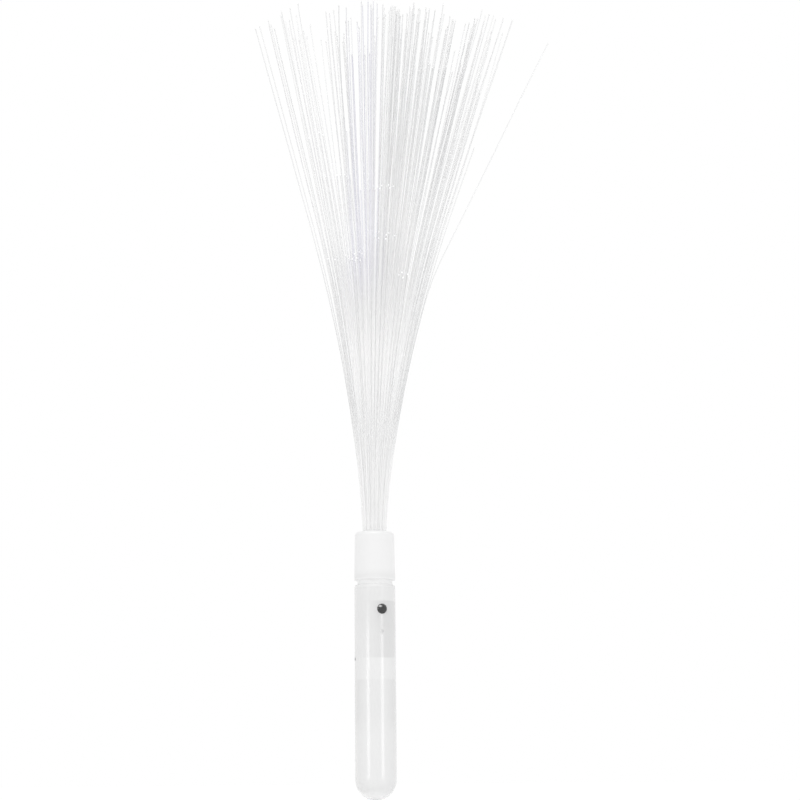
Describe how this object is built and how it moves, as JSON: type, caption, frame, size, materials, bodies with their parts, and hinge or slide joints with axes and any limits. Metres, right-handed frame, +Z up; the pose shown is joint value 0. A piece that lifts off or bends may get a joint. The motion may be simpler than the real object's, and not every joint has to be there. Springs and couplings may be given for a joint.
{
  "type": "fiber optic wand lamp",
  "caption": "Handheld light wand: a fan of clear optical fibres in a white cap that plugs a milky handle with a push button, coloured lights and button cells.",
  "frame": {"origin": "centre of the handle's round end, on its axis, where the straight wall of the grip starts", "axes": "+Z up the wand towards the fibre tips; -Y is the side seen from the front, and the push button faces 21 degrees from -Y towards +X"},
  "size_m": [0.133, 0.1192, 0.3527],
  "materials": {
    "milky_plastic": "gloss",
    "cap_plastic": "satin",
    "button_plastic": "gloss",
    "fibre_acrylic": "gloss",
    "frame_plastic": "matte",
    "cell_steel": "satin",
    "nickel_plate": "satin",
    "bright_steel": "satin",
    "board_laminate": "satin",
    "red_lens": "gloss",
    "green_lens": "gloss",
    "blue_lens": "gloss",
    "tinned_wire": "satin",
    "switch_plastic": "matte",
    "chip_resin": "gloss",
    "resistor_ceramic": "satin",
    "red_insulation": "satin",
    "black_insulation": "satin",
    "sleeve_plastic": "satin",
    "clear_glue": "gloss"
  },
  "bodies": {
    "handle": {"handle_tube": "milky_plastic", "retaining_pin": "bright_steel", "module_frame": "frame_plastic", "battery_lower": "cell_steel", "battery_middle": "cell_steel", "battery_upper": "cell_steel", "negative_contact": "nickel_plate", "negative_spring": "nickel_plate", "positive_contact": "nickel_plate", "battery_lid": "frame_plastic", "control_board": "board_laminate", "light_board": "board_laminate", "red_light": "red_lens", "green_light": "green_lens", "blue_light": "blue_lens", "light_leads": "tinned_wire", "switch_base": "switch_plastic", "switch_cover": "bright_steel", "switch_dome": "bright_steel", "control_chip": "chip_resin", "resistors": "resistor_ceramic", "positive_wire": "red_insulation", "negative_wire": "black_insulation", "solder_joints": "tinned_wire"},
    "button": {"push_button": "button_plastic", "switch_plunger": "switch_plastic"},
    "head": {"head_cap": "cap_plastic", "bundle_sleeve": "sleeve_plastic", "bundle_glue": "clear_glue", "fibres_core": "fibre_acrylic", "fibres_inner": "fibre_acrylic", "fibres_middle": "fibre_acrylic", "fibres_outer": "fibre_acrylic", "fibres_rim": "fibre_acrylic", "stray_fibre": "fibre_acrylic"}
  },
  "joints": [
    {"name": "button_press", "type": "slide", "parent": "handle", "child": "button", "axis": [-0.3584, 0.9336, 0], "range_m": [0, 0.0002], "stiffness_N_per_m": 2000, "deforming": ["switch_dome"]},
    {"name": "head_pull", "type": "slide", "parent": "handle", "child": "head", "axis": [0, 0, 1], "range_m": [0, 0.008]}
  ]
}
